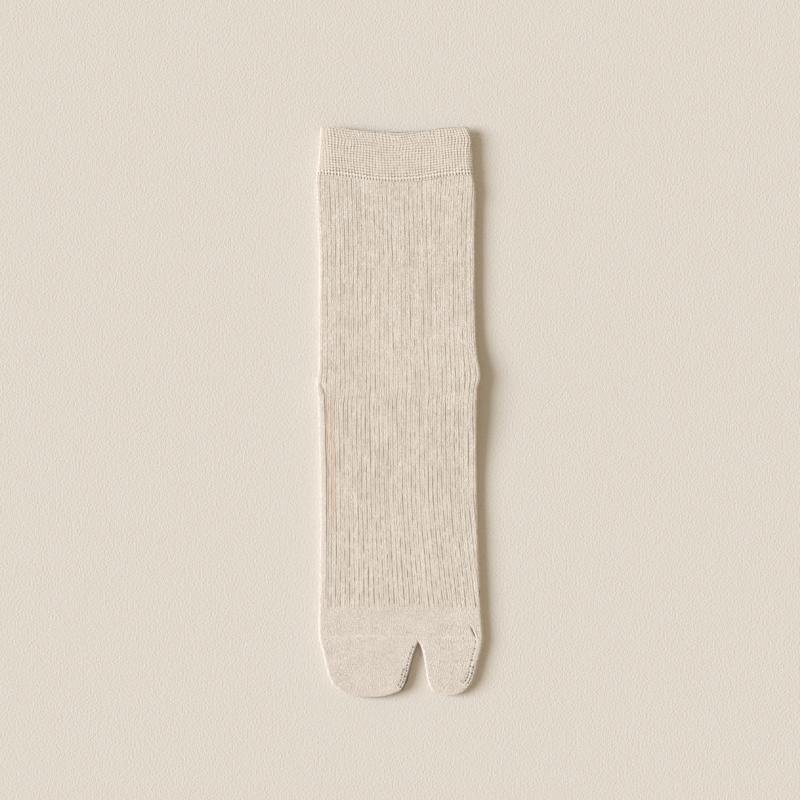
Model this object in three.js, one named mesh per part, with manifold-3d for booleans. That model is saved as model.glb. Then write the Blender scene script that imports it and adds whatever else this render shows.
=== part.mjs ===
// A pair of split-toe socks, lying flat, one on the other.
//
// Millimetres. +X is the big-toe side, +Y points from the toes to the cuff, +Z is up.
// The origin is the middle of the underside. The upper sock lies instep up, the lower one sole up,
// so both big toes are on the +X side. Each sock is knitted as one tube, in zones: a double cuff,
// a ribbed leg and foot, a heel pocket and a toe that divides in two.

import * as THREE from "three";
import { mergeVertices } from "three/addons/utils/BufferGeometryUtils.js";
import Module from "manifold-3d";

const wasm = await Module();
wasm.setup();

// ---- driving sizes -------------------------------------------------------------------------

const GAP = 0.3; // between zones at a seam, and between cloth that lies on cloth
const TOP_EDGE = 165.3; // Y of the cuff's top corners
const CUFF_SEAM = 137.2; // Y where the cuff meets the leg, at the two sides
const TOE_LINE = -113.4; // Y where the ribs stop and the plain toe starts

const RIBS_ACROSS = 36; // half of the 72 ribs round the tube
const RIB_DEPTH = 0.4;
const SOLE_EDGE = 4; // width of plain sole that wraps to the top along the foot's outer side

const KNIT = { wall: 1.0, ribbed: 1.4, lumen: GAP }; // leg and foot: sole layer, rib layer, space
const WELT_WALL = 1.5; // the cuff's cloth is double
const HIDDEN_WALL = 1.1; // the lower sock's leg, foot and toe
const TOE_WALL = 1.2;

const FOLD_REACH = 2.2; // how far in from a side fold the cloth is still rounding over
const SIDE_WALL = 1.6; // from the outside of a side fold to the space inside

const TOP_DIP = 3.1; // the cuff's top edge sags in the middle
const SEAM_DIP = 4.3; // and the cuff seam sags a little more
const DIP_FADE = 48; // length of leg over which the rows straighten again
const TOE_OVERLAP = 8; // the toe's outline is drawn this far past the toe line, then cut there

const LOWER_SLIP = { cuff: 0.6, leg: 0.4, foot: 0.2, toe: 1.0 }; // the lower sock, towards +X
const LOWER_DROP = 4.6; // and its cuff this far towards the toes
const LOWER_TURN = { toeEnd: TOE_LINE, foot: -60, ankle: 20, leg: 60, cuff: 112 }; // and where

// Heights of the stack
const TUBE_THICK = KNIT.wall + KNIT.lumen + KNIT.ribbed;
const HIDDEN_THICK = 2 * HIDDEN_WALL + GAP;
const WELT_THICK = 2 * WELT_WALL + GAP;
const UPPER_BASE = HIDDEN_THICK + GAP;
const UPPER_CUFF_BASE = WELT_THICK + GAP;
const CUFF_RAMP = { low: 118, high: 127 }; // the upper leg climbs onto the lower cuff between these

// The two heel pockets lie folded between the socks and lift the upper one.
const HEEL_LIFT = { height: 3.5, legEnd: 52, legTop: 16, toeTop: 6, toeEnd: -40 };
const POCKET_GROOVE = 0.35; // depth of the line round a pocket's rim, between its two layers

// ---- outlines of the upper sock ------------------------------------------------------------

// A row for each place along the sock where its width changes.
const CUFF_ROWS = [
  { y: TOP_EDGE, left: -45.9, right: 38.9 },
  { y: 164.2, left: -46.3, right: 39.8 },
  { y: 162.1, left: -46.4, right: 40.3 },
  { y: 159.6, left: -46.5, right: 41.2 },
  { y: 152, left: -46.9, right: 41.5 },
  { y: 144, left: -47.6, right: 41.8 },
  { y: CUFF_SEAM + GAP, left: -48.5, right: 42.4 },
];

const TUBE_ROWS = [
  { y: CUFF_SEAM, left: -48.6, right: 42.5 },
  { y: 132.2, left: -48.8, right: 43.3 },
  { y: 126, left: -48.4, right: 43.7 },
  { y: 118, left: -47.9, right: 43.6 },
  { y: 96, left: -47.2, right: 43.3 },
  { y: 64, left: -47.1, right: 43.6 },
  { y: 46, left: -47.1, right: 44.0 },
  { y: 38, left: -47.1, right: 44.3 },
  { y: 31, left: -47.2, right: 45.1 },
  { y: 25, left: -47.3, right: 46.2 },
  { y: 19.5, left: -47.9, right: 46.4 },
  { y: 15, left: -48.4, right: 45.2 },
  { y: 9, left: -47.6, right: 44.6 },
  { y: 1, left: -47.2, right: 44.4 },
  { y: -8, left: -47.0, right: 44.3 },
  { y: -17, left: -46.9, right: 44.4 },
  { y: -26, left: -46.7, right: 44.5 },
  { y: -38, left: -46.6, right: 44.6 },
  { y: -80, left: -46.5, right: 45.5 },
  { y: TOE_LINE, left: -47.1, right: 46.8 },
];

// A heel pocket, from its fold at the heel line to its tip.
const POCKET_ROWS = [
  { y: 22.5, left: -45.6, right: 44.0 },
  { y: 21.5, left: -47.6, right: 45.8 },
  { y: 17, left: -48.6, right: 45.4 },
  { y: 10, left: -47.0, right: 43.4 },
  { y: 0, left: -42.5, right: 39.2 },
  { y: -9, left: -33.0, right: 30.0 },
  { y: -15, left: -22.0, right: 19.0 },
  { y: -18, left: -12.0, right: 9.5 },
];

// Half outlines of the toe, both run down from the plain band: round the pocket for the four
// toes up to the crotch, and from the crotch round the big toe and up its outer side.
const FOUR_TOES = [
  [-47.3, -121], [-47.3, -127], [-46.8, -132.2], [-44.9, -139.2], [-43.3, -146.2], [-41.4, -153.1],
  [-39.4, -157.8], [-34.6, -161.7], [-28.5, -164.2], [-18.6, -165.3], [-9.5, -164.9], [-2.6, -162.8],
  [1.2, -160.6], [3.0, -157.2], [4.8, -151.5], [6.5, -144.4], [8.3, -138.6], [9.9, -134.3],
];
const CROTCH = [10.6, -133.2];
const BIG_TOE = [
  [11.4, -134.3], [12.9, -138.6], [14.0, -144.4], [15.1, -151.5], [16.4, -157.6], [18.3, -161.2],
  [23.0, -163.5], [29.5, -164.3], [34.5, -163.2], [39.0, -159.8], [42.1, -155.4], [44.0, -148.5],
  [45.6, -142.2], [47.0, -137.2], [47.8, -132.2], [47.7, -125.3], [47.3, -121],
];

// ---- shared forms --------------------------------------------------------------------------

const { smoothstep, lerp } = THREE.MathUtils;

// How far the heel pockets lift the upper sock at a place along it.
function heelLift(y) {
  const fromLeg = 1 - smoothstep(y, HEEL_LIFT.legTop, HEEL_LIFT.legEnd);
  const fromToe = smoothstep(y, HEEL_LIFT.toeEnd, HEEL_LIFT.toeTop);
  return HEEL_LIFT.height * fromLeg * fromToe;
}

// Sag of a row in the middle of the sock: a raised cosine, zero at the two sides.
function sag(row, x) {
  const across = (2 * x - row.left - row.right) / (row.right - row.left);
  return row.dip * 0.5 * (1 + Math.cos(Math.PI * THREE.MathUtils.clamp(across, -1, 1)));
}

// Height of a side fold's round, from 0 at the very edge to 1 where the cloth lies flat.
function fold(row, x) {
  const inward = Math.min(x - row.left, row.right - x);
  const curl = 1 - Math.min(inward / FOLD_REACH, 1);
  return Math.sqrt(Math.max(1 - curl * curl, 0));
}

// How much of a rib's groove is there: none on the plain sole along the foot's outer side.
function grooveShare(row, x) {
  const onFoot = 1 - smoothstep(row.y, HEEL_LIFT.toeTop, HEEL_LIFT.legTop);
  const onSole = 1 - smoothstep(x - row.left, SOLE_EDGE - 1, SOLE_EDGE);
  return 1 - onFoot * onSole;
}

// Places across a row. Each rib has a groove and two shoulders; plain cloth has even steps that
// crowd together at the side folds.
function ribPlaces() {
  const places = [];
  for (let rib = 0; rib < RIBS_ACROSS; rib += 1) {
    places.push({ across: rib / RIBS_ACROSS, groove: rib > 0 });
    places.push({ across: (rib + 0.28) / RIBS_ACROSS, groove: false });
    places.push({ across: (rib + 0.72) / RIBS_ACROSS, groove: false });
  }
  places.push({ across: 1, groove: false });
  return places;
}

function plainPlaces(steps) {
  const foldSteps = [0, 0.004, 0.011, 0.02];
  const middle = [];
  for (let step = 1; step < steps; step += 1) {
    middle.push(step / steps);
  }
  const far = foldSteps.map((across) => 1 - across).reverse();
  return [...foldSteps, ...middle, ...far].map((across) => ({ across, groove: false }));
}

// A point of a ring, with its place round the ring: 0 to 1 over the top, 1 to 2 underneath.
function ringPoint(x, y, z, around) {
  return Object.assign(new THREE.Vector3(x, y, z), { around });
}

// The outside of a row: over the top from right to left, and back along the underside.
function outerRing(row, topPlaces, bottomPlaces) {
  const half = row.thick / 2;
  const over = topPlaces.map(({ across, groove }) => {
    const x = lerp(row.right, row.left, across);
    const height = half + half * fold(row, x) - (groove ? RIB_DEPTH * grooveShare(row, x) : 0);
    return ringPoint(x, row.y - sag(row, x), row.base + height, across);
  });
  const under = bottomPlaces.slice(1, -1).map(({ across }) => {
    const x = lerp(row.left, row.right, across);
    return ringPoint(x, row.y - sag(row, x), row.base + half - half * fold(row, x), 1 + across);
  });
  return [...over, ...under];
}

// The space inside a row, flat, with a point at each side.
function innerRing(row, steps) {
  const left = row.left + SIDE_WALL;
  const right = row.right - SIDE_WALL;
  const middle = row.base + row.under + row.lumen / 2;
  const points = [];
  for (let step = 0; step < 2 * steps; step += 1) {
    const around = step / steps;
    const x = lerp(right, left, around < 1 ? around : 2 - around);
    const rise = around % 1 === 0 ? 0 : row.lumen / 2;
    points.push(ringPoint(x, row.y - sag(row, x), around < 1 ? middle + rise : middle - rise, around));
  }
  return points;
}

// Joins rings of points, one for each row, into a skin that faces out, or in for a hollow.
function addSkin(faces, rings, offset, facesIn) {
  const count = rings[0].length;
  for (let row = 0; row < rings.length - 1; row += 1) {
    for (let step = 0; step < count; step += 1) {
      const next = (step + 1) % count;
      const a = offset + row * count + step;
      const b = offset + row * count + next;
      const c = a + count;
      const d = b + count;
      faces.push(...(facesIn ? [a, c, b, b, c, d] : [a, b, c, b, d, c]));
    }
  }
}

// Zips an outer ring to the ring of its hollow: each step goes on along the ring that is behind.
function addRim(faces, outer, outerStart, inner, innerStart, facesCuff) {
  const placeAt = (ring, index) => (index < ring.length ? ring[index].around : 2);
  let i = 0;
  let j = 0;
  while (i < outer.length || j < inner.length) {
    const a = outerStart + (i % outer.length);
    const b = innerStart + (j % inner.length);
    const stepOuter = j === inner.length
      || (i < outer.length && placeAt(outer, i + 1) <= placeAt(inner, j + 1));
    i += stepOuter ? 1 : 0;
    j += stepOuter ? 0 : 1;
    const c = stepOuter ? outerStart + (i % outer.length) : innerStart + (j % inner.length);
    faces.push(...(facesCuff ? [a, b, c] : [a, c, b]));
  }
}

// Closes the end of a solid body with a fan round a middle point.
function addCap(faces, ring, start, middle, facesCuff) {
  for (let step = 0; step < ring.length; step += 1) {
    const a = start + step;
    const b = start + ((step + 1) % ring.length);
    faces.push(...(facesCuff ? [middle, b, a] : [middle, a, b]));
  }
}

function toGeometry(points, faces) {
  const geometry = new THREE.BufferGeometry().setFromPoints(points);
  geometry.setIndex(faces);
  return geometry;
}

// A tube wall, open at both ends.
function wallFromRings(outerRings, innerRings) {
  const outerPoints = outerRings.flat();
  const innerPoints = innerRings.flat();
  const faces = [];
  addSkin(faces, outerRings, 0, false);
  addSkin(faces, innerRings, outerPoints.length, true);
  for (const row of [0, outerRings.length - 1]) {
    const outer = outerRings[row];
    const inner = innerRings[row];
    const innerStart = outerPoints.length + row * inner.length;
    addRim(faces, outer, row * outer.length, inner, innerStart, row === 0);
  }
  return toGeometry([...outerPoints, ...innerPoints], faces);
}

// A closed solid body.
function solidFromRings(rings) {
  const points = rings.flat();
  const faces = [];
  addSkin(faces, rings, 0, false);
  for (const row of [0, rings.length - 1]) {
    const middle = new THREE.Vector3();
    rings[row].forEach((point) => middle.addScaledVector(point, 1 / rings[row].length));
    points.push(middle);
    addCap(faces, rings[row], row * rings[row].length, points.length - 1, row === 0);
  }
  return toGeometry(points, faces);
}

const INNER_STEPS = 10;
const UNDERSIDE = plainPlaces(7);
const PLAIN_TOP = plainPlaces(12);

function wallBody(rows, topPlaces) {
  const outer = rows.map((row) => outerRing(row, topPlaces, UNDERSIDE));
  const inner = rows.map((row) => innerRing(row, INNER_STEPS));
  return wallFromRings(outer, inner);
}

// ---- the zones of a sock -------------------------------------------------------------------

function cuffRows(base, slip, drop) {
  return CUFF_ROWS.map((row) => {
    const down = (TOP_EDGE - row.y) / (TOP_EDGE - CUFF_SEAM);
    return {
      y: row.y - drop,
      left: row.left + slip,
      right: row.right + slip,
      base,
      thick: WELT_THICK,
      under: WELT_WALL,
      lumen: GAP,
      dip: lerp(TOP_DIP, SEAM_DIP, down),
    };
  });
}

function rowDip(y) {
  return SEAM_DIP * smoothstep(y, CUFF_SEAM - DIP_FADE, CUFF_SEAM);
}

function upperTube() {
  const rows = TUBE_ROWS.map((row) => {
    const overLowerCuff = smoothstep(row.y, CUFF_RAMP.low, CUFF_RAMP.high);
    const rest = lerp(UPPER_BASE, UPPER_CUFF_BASE, overLowerCuff);
    return {
      ...row,
      base: rest + heelLift(row.y),
      thick: TUBE_THICK,
      under: KNIT.wall,
      lumen: KNIT.lumen,
      dip: rowDip(row.y),
    };
  });
  return wallBody(rows, ribPlaces());
}

function lowerSlip(y) {
  const onFoot = smoothstep(y, LOWER_TURN.toeEnd, LOWER_TURN.foot);
  const onLeg = smoothstep(y, LOWER_TURN.ankle, LOWER_TURN.leg);
  const atCuff = smoothstep(y, LOWER_TURN.cuff, CUFF_SEAM);
  const below = lerp(lerp(LOWER_SLIP.toe, LOWER_SLIP.foot, onFoot), LOWER_SLIP.leg, onLeg);
  return lerp(below, LOWER_SLIP.cuff, atCuff);
}

function lowerTube() {
  // It stays flat, so past the ramp every second row is enough.
  const kept = TUBE_ROWS.filter((row, index) => row.y >= CUFF_RAMP.low || index % 2 === 1);
  const rows = kept.map((row) => {
    const down = smoothstep(row.y, LOWER_TURN.leg, CUFF_SEAM);
    const slip = lowerSlip(row.y);
    return {
      y: row.y - LOWER_DROP * down,
      left: row.left + slip,
      right: row.right + slip,
      base: 0,
      thick: HIDDEN_THICK,
      under: HIDDEN_WALL,
      lumen: GAP,
      dip: rowDip(row.y),
    };
  });
  return wallBody(rows, PLAIN_TOP);
}

// A heel pocket, folded flat. Its rim shows the two layers, parted by a groove.
const RIM = [
  { inset: 0, height: 0.72 }, { inset: 0.35, height: 0.95 }, { inset: 1.1, height: 1 },
];
const POCKET_STEPS = [0.25, 0.5, 0.75];

function pocketRing(row) {
  const ring = [];
  const middle = row.base + row.thick / 2;
  const half = row.thick / 2;
  const place = (x, height) => ring.push(new THREE.Vector3(x, row.y, middle + half * height));
  place(row.right - POCKET_GROOVE, 0);
  RIM.forEach(({ inset, height }) => place(row.right - inset, height));
  POCKET_STEPS.forEach((across) => place(lerp(row.right, row.left, across), 1));
  [...RIM].reverse().forEach(({ inset, height }) => place(row.left + inset, height));
  place(row.left + POCKET_GROOVE, 0);
  RIM.forEach(({ inset, height }) => place(row.left + inset, -height));
  POCKET_STEPS.forEach((across) => place(lerp(row.left, row.right, across), -1));
  [...RIM].reverse().forEach(({ inset, height }) => place(row.right - inset, -height));
  return ring;
}

function heelPocket(order, slip) {
  const rings = POCKET_ROWS.map((row) => {
    const thick = (heelLift(row.y) - 2 * GAP) / 2;
    const base = HIDDEN_THICK + GAP + order * (thick + GAP);
    return pocketRing({
      y: row.y, left: row.left + slip, right: row.right + slip, base, thick,
    });
  });
  return solidFromRings(rings);
}

const TOE_STEPS = 61; // round the outline
const CUTTER_WIDTH = 120;

function solidFrom(geometry) {
  geometry.deleteAttribute("normal");
  geometry.deleteAttribute("uv");
  const merged = mergeVertices(geometry, 1e-4);
  return new wasm.Manifold(new wasm.Mesh({
    numProp: 3,
    vertProperties: merged.attributes.position.array,
    triVerts: merged.index.array,
  }));
}

function geometryFrom(solid) {
  const mesh = solid.getMesh();
  const geometry = new THREE.BufferGeometry();
  geometry.setAttribute("position", new THREE.Float32BufferAttribute(mesh.vertProperties, 3));
  geometry.setIndex(Array.from(mesh.triVerts));
  return geometry;
}

// The toe: a plate with a round rim, cut to the toe's outline, with the space inside taken out.
// Outline and space run past the toe line, and a cutter takes off what is over.
function toe(base, wall, slip) {
  const overrun = TOE_LINE + TOE_OVERLAP;
  const corners = [
    [FOUR_TOES[0][0], overrun], ...FOUR_TOES, CROTCH, ...BIG_TOE, [BIG_TOE.at(-1)[0], overrun],
  ];
  const curve = new THREE.SplineCurve(corners.map(([x, y]) => new THREE.Vector2(x, y)));
  const outline = new THREE.Shape(curve.getPoints(TOE_STEPS));
  const thick = 2 * wall + GAP;
  const rim = (thick - GAP) / 2;
  const shell = new THREE.ExtrudeGeometry(outline, {
    depth: GAP,
    bevelThickness: rim,
    bevelSize: FOLD_REACH,
    bevelOffset: -FOLD_REACH,
    bevelSegments: 3,
  });
  const slit = GAP / 3;
  const space = new THREE.ExtrudeGeometry(outline, {
    depth: slit,
    bevelThickness: slit,
    bevelSize: slit,
    bevelOffset: -SIDE_WALL - slit,
    bevelSegments: 1,
  });
  space.translate(0, 0, slit);
  const cutter = new THREE.BoxGeometry(CUTTER_WIDTH, 4 * TOE_OVERLAP, 8 * thick);
  cutter.translate(0, TOE_LINE - GAP + 2 * TOE_OVERLAP, 0);
  const hollow = solidFrom(shell).subtract(solidFrom(space)).subtract(solidFrom(cutter));
  const geometry = geometryFrom(hollow);
  geometry.translate(slip, 0, base + rim);
  return geometry;
}

// ---- materials and assembly ----------------------------------------------------------------

const knitCotton = (color) => new THREE.MeshStandardMaterial({ color, roughness: 0.95, metalness: 0 });
const ribbedKnit = knitCotton(0xe3d6c4);
const weltKnit = knitCotton(0xe1d4c4);
const plainKnit = knitCotton(0xe8dccb);
const heelKnit = knitCotton(0xe0d0b8);

const pair = new THREE.Group();

function add(name, geometry, material) {
  geometry.computeVertexNormals();
  const mesh = new THREE.Mesh(geometry, material);
  mesh.name = name;
  pair.add(mesh);
}

add("upper_cuff", wallBody(cuffRows(UPPER_CUFF_BASE, 0, 0), PLAIN_TOP), weltKnit);
add("upper_tube", upperTube(), ribbedKnit);
add("upper_heel", heelPocket(1, 0), heelKnit);
add("upper_toe", toe(UPPER_BASE, TOE_WALL, 0), plainKnit);

add("lower_cuff", wallBody(cuffRows(0, LOWER_SLIP.cuff, LOWER_DROP), PLAIN_TOP), weltKnit);
add("lower_tube", lowerTube(), ribbedKnit);
add("lower_heel", heelPocket(0, LOWER_SLIP.foot), heelKnit);
add("lower_toe", toe(0, HIDDEN_WALL, LOWER_SLIP.toe), plainKnit);

export default pair;
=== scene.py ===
"""A pair of split-toe cotton socks, lying flat, one on the other.

Lengths are in millimetres until a mesh is made, which is in metres. +X is the big-toe side, +Y
points from the toes to the cuff and +Z is up. The upper sock lies instep up, the lower one sole up.
"""

import bmesh
import bpy
import numpy as np
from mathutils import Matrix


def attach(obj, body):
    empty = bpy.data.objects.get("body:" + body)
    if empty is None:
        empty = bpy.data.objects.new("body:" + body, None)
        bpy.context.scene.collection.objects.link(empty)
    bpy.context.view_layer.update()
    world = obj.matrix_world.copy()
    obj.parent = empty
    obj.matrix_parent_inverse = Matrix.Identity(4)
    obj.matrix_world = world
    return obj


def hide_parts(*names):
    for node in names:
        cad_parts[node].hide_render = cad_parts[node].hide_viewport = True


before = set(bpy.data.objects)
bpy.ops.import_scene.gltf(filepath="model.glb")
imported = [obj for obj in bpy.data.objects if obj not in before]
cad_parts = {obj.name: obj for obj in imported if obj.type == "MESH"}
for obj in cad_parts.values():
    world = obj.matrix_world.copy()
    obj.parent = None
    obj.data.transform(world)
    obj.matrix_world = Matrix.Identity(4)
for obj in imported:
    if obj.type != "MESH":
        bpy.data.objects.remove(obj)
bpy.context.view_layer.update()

MM = 0.001
RANDOM = np.random.default_rng(36)

# ---- sizes: outline, walls and heights are the same as the construction's --------------------

GAP = 0.3  # between two solids, and between the two layers of a flat sock
TOP_EDGE = 165.3
CUFF_SEAM = 137.2
TOE_LINE = -113.4  # where the ribs end and the plain toe begins
CROTCH = (10.6, -133.2)  # of the split

RIBS = 36  # across the flat top
RIB_DEPTH = 0.19
GROOVE_WIDTH, MIDDLE_WIDTH = 0.24, 0.22  # of the grooves between ribs and down their middles
# How far the ribs lean at the cuff, from the heel down and at the toe, and where that begins
RIB_LEAN = dict(cuff=1.9, cuff_from=100.0, heel=0.6, toe=4.8, toe_from=-46.0)
HEEL_LINE = 10.0
SOLE_EDGE = 4.0  # how far the sole's plain cloth comes round the left fold
SOLE_FADE = (-111.0, -103.0)  # where it ends above the toe

# Width of a stitch and height of its course, on plain and ribbed cloth and on the cuff
WALE, COURSE = 1.27, 1.05
WELT_WALE, WELT_COURSE = 1.77, 1.45
GAP_ROW, LOOP_ROW = 1.2, 2.1  # above the cuff's seam
LINKING_STEP = 1.75  # from one open stitch of the toe's seams to the next
NARROWING_Y = -129.8

TUBE_WALLS = dict(under=1.0, lumen=GAP, over=1.4)
WELT_WALLS = dict(under=1.5, lumen=GAP, over=1.5)
HIDDEN_WALLS = dict(under=1.1, lumen=GAP, over=1.1)
TOE_WALLS = dict(under=1.2, lumen=GAP, over=1.2)

FOLD_REACH = 2.2  # how far in from the side the fold is round
SIDE_WALL = 1.6  # from a side fold to the space inside
SLIT_ROUND = 0.8  # how far in from its side the space inside reaches its full height
RIM_STEP = 0.03  # from an open end to the next row, where the wall turns sharply inwards
CUFF_ROUND = 0.75  # how long the rounded top edge of the cuff is

# How far the rows dip in their middle, at the cuff's edge and seam, and how fast that fades
TOP_DIP, SEAM_DIP, DIP_FADE = 3.1, 4.3, 48.0

# How far the lower sock lies to the right of the upper one, and its cuff below the upper one's
LOWER_SLIP = dict(cuff=0.6, leg=0.4, foot=0.2, toe=1.0)
LOWER_DROP = 4.6

UPPER_BASE = sum(HIDDEN_WALLS.values()) + GAP
UPPER_CUFF_BASE = sum(WELT_WALLS.values()) + GAP
CUFF_RAMP = (118.0, 127.0)  # the leg rises to the thicker cuffs between these
# The folded heels lift the upper sock by height, fully between the tops and not past the ends.
HEEL_LIFT = dict(height=3.5, leg_end=52.0, leg_top=16.0, toe_top=6.0, toe_end=-40.0)
# A heel pocket: its open end, the end of its narrow rim, its tip, the end of the slit in it, and
# where it reaches its full thickness
POCKET = dict(mouth=22.5, painted_lip_shade=21.5, tip=-18.0, inside_tip=-17.0, full=-15.5)

# Rows of the upper sock's outline, and of the pockets': y, left, right.
CUFF_EDGES = np.array([
    (165.3, -45.9, 38.9), (164.2, -46.3, 39.8), (162.1, -46.4, 40.3), (159.6, -46.5, 41.2),
    (152.0, -46.9, 41.5), (144.0, -47.6, 41.8), (137.2, -48.55, 42.45),
])
TUBE_EDGES = np.array([
    (137.2, -48.6, 42.5), (132.2, -48.8, 43.3), (126.0, -48.4, 43.7), (118.0, -47.9, 43.6),
    (96.0, -47.2, 43.3), (64.0, -47.1, 43.6), (46.0, -47.1, 44.0), (38.0, -47.1, 44.3),
    (31.0, -47.2, 45.1), (25.0, -47.3, 46.2), (19.5, -47.9, 46.4), (15.0, -48.4, 45.2),
    (9.0, -47.6, 44.6), (1.0, -47.2, 44.4), (-8.0, -47.0, 44.3), (-17.0, -46.9, 44.4),
    (-26.0, -46.7, 44.5), (-38.0, -46.6, 44.6), (-80.0, -46.5, 45.5), (-113.4, -47.1, 46.8),
])
# The same sides without the bulges of the heel: the ribs away from the sides follow these.
RIB_EDGES = np.array([
    (137.2, -48.3, 42.7), (96.0, -47.2, 43.3), (46.0, -47.1, 43.9), (1.0, -47.1, 44.3),
    (-38.0, -46.6, 44.6), (-80.0, -46.5, 45.5), (-113.4, -47.1, 46.8),
])
POCKET_EDGES = np.array([
    (22.5, -45.6, 44.0), (21.5, -47.6, 45.8), (17.0, -48.6, 45.4), (10.0, -47.0, 43.4),
    (0.0, -42.5, 39.2), (-9.0, -33.0, 30.0), (-15.0, -22.0, 19.0), (-18.0, -12.0, 9.5),
])

# The toe's sides, each from the toe line down, and the round ends of its two pockets.
OUTER_SIDE = [
    (-47.1, -113.4), (-47.3, -121.0), (-47.3, -127.0), (-46.8, -132.2), (-44.9, -139.2),
    (-43.3, -146.2), (-41.4, -153.1), (-39.4, -157.8),
]
FOUR_TOES_END = [
    (-39.4, -157.8), (-34.6, -161.7), (-28.5, -164.2), (-18.6, -165.3), (-9.5, -164.9),
    (-2.6, -162.8), (1.2, -160.6), (3.0, -157.2),
]
SPLIT_LEFT = [
    CROTCH, (9.9, -134.3), (8.3, -138.6), (6.5, -144.4), (4.8, -151.5), (3.0, -157.2),
]
SPLIT_RIGHT = [
    CROTCH, (11.4, -134.3), (12.9, -138.6), (14.0, -144.4), (15.1, -151.5), (16.4, -157.6),
]
BIG_TOE_END = [
    (16.4, -157.6), (18.3, -161.2), (23.0, -163.5), (29.5, -164.3), (34.5, -163.2), (39.0, -159.8),
    (42.1, -155.4),
]
BIG_TOE_SIDE = [
    (46.8, -113.4), (47.3, -121.0), (47.7, -125.3), (47.8, -132.2), (47.0, -137.2), (45.6, -142.2),
    (44.0, -148.5), (42.1, -155.4),
]

# Soft ridges and troughs of the upper sock's top: middle x and y, direction in
# degrees from +X, half length, half width, height.
CREASES = np.array([
    (-20.0, 8.8, 1.0, 26.0, 1.3, -0.26),
    (22.0, 9.6, -2.0, 20.0, 1.5, -0.20),
    (-8.0, 13.2, 0.0, 34.0, 2.6, 0.16),
    (-44.6, 14.0, -66.0, 4.2, 0.55, -0.42),
    (41.0, 20.0, 28.0, 5.0, 1.4, -0.14),
    (39.0, 27.5, 40.0, 7.0, 2.2, 0.10),
    (-30.0, 40.0, -12.0, 16.0, 4.0, -0.14),
    (10.0, 52.0, 6.0, 26.0, 5.0, 0.13),
    (24.0, -14.0, -9.0, 18.0, 4.0, -0.16),
    (-14.0, -24.0, 8.0, 22.0, 5.0, 0.13),
    (-34.0, 96.0, 80.0, 30.0, 4.5, 0.10),
    (16.0, 88.0, -84.0, 36.0, 5.0, -0.12),
    (4.0, -70.0, 84.0, 32.0, 5.0, 0.11),
    (-26.0, -84.0, -86.0, 24.0, 4.0, -0.10),
    (30.0, -96.0, 14.0, 16.0, 4.0, -0.12),
    (-18.0, -121.0, 4.0, 18.0, 3.5, -0.14),
    (24.0, -124.0, -10.0, 13.0, 3.0, 0.14),
    (-16.0, -130.6, 1.0, 18.0, 0.8, 0.20),
    (27.0, -131.5, -2.0, 14.0, 0.8, 0.14),
    (-20.0, -148.0, 20.0, 14.0, 5.0, -0.16),
    (28.0, -150.0, -70.0, 9.0, 4.0, 0.14),
    (42.3, -127.2, -65.5, 3.4, 0.30, -1.05),
    (43.9, -132.9, -84.0, 1.0, 0.30, -0.62),
    (43.9, -128.2, -71.0, 4.0, 0.60, 0.36),
])

# ---- colours ---------------------------------------------------------------------------------


def linear(hex_colour):
    """An sRGB hex value as linear red, green, blue and alpha."""
    parts = np.array([int(hex_colour[i:i + 2], 16) for i in (1, 3, 5)]) / 255.0
    low = parts / 12.92
    high = ((parts + 0.055) / 1.055) ** 2.4
    return (*np.where(parts <= 0.04045, low, high).tolist(), 1.0)


# ---- small curves ----------------------------------------------------------------------------


def smoothstep(value, low, high):
    """0 below low, 1 above high, and the cubic 3t^2 - 2t^3 between."""
    t = np.clip((value - low) / (high - low), 0.0, 1.0)
    return t * t * (3.0 - 2.0 * t)


def bell(value, width):
    """exp(-(value / width)^2): 1 in the middle, almost 0 from twice the width on."""
    return np.exp(-((value / width) ** 2))


def blend(first, second, share):
    """A straight blend from first to second."""
    return first + (second - first) * share


def soft_curve(at, places, values):
    """Cubic Hermite curve through values at rising places, whose slopes are the means of both
    sides."""
    slope = np.gradient(values, places, axis=0)
    i = np.clip(np.searchsorted(places, at, side="right") - 1, 0, len(places) - 2)
    step = places[i + 1] - places[i]
    t = (at - places[i]) / step
    if values.ndim > 1:
        t, step = t[..., None], step[..., None]
    rise = t * t * (3.0 - 2.0 * t)
    start = t * (1.0 - t) ** 2 * step
    end = t * t * (t - 1.0) * step
    return values[i] * (1.0 - rise) + values[i + 1] * rise + slope[i] * start + slope[i + 1] * end


def edges_at(y, table):
    """Left and right edge at places along the sock, from a table whose y falls from row to row."""
    rising = table[::-1]
    return (
        soft_curve(y, rising[:, 0], rising[:, 1]),
        soft_curve(y, rising[:, 0], rising[:, 2]),
    )


def run_along(line):
    """Length of a line from its start to each of its points."""
    return np.concatenate([[0.0], np.cumsum(np.hypot(*np.diff(line, axis=0).T))])


def at_runs(line, want):
    """Points of a line at the wanted lengths from its start."""
    run = run_along(line)
    return np.stack([np.interp(want, run, line[:, k]) for k in (0, 1)], axis=1)


def through(points, count):
    """A smooth line through points, as count places at even steps of its length."""
    points = np.array(points)
    along = run_along(points)
    fine = soft_curve(np.linspace(0.0, along[-1], 600), along, points)
    return at_runs(fine, np.linspace(0.0, run_along(fine)[-1], count))


def right_of(line):
    """Unit vectors across a line, to the right of its run: its gradient, turned and scaled to 1."""
    along = np.gradient(line, axis=0)
    return np.stack([along[:, 1], -along[:, 0]], 1) / np.hypot(*along.T)[:, None]


def wander(lines, places, knot, rng):
    """A soft random value from -1 to 1 for each line and place, changing about every knot mm."""
    count = int(np.ptp(places) / knot) + 4
    knots = rng.uniform(-1.0, 1.0, (lines, count))
    at = (places - places.min()) / knot
    i = at.astype(int)
    share = smoothstep(at - i, 0.0, 1.0)
    return knots[:, i] * (1.0 - share) + knots[:, i + 1] * share


# ---- the shape of the cloth ------------------------------------------------------------------


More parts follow.
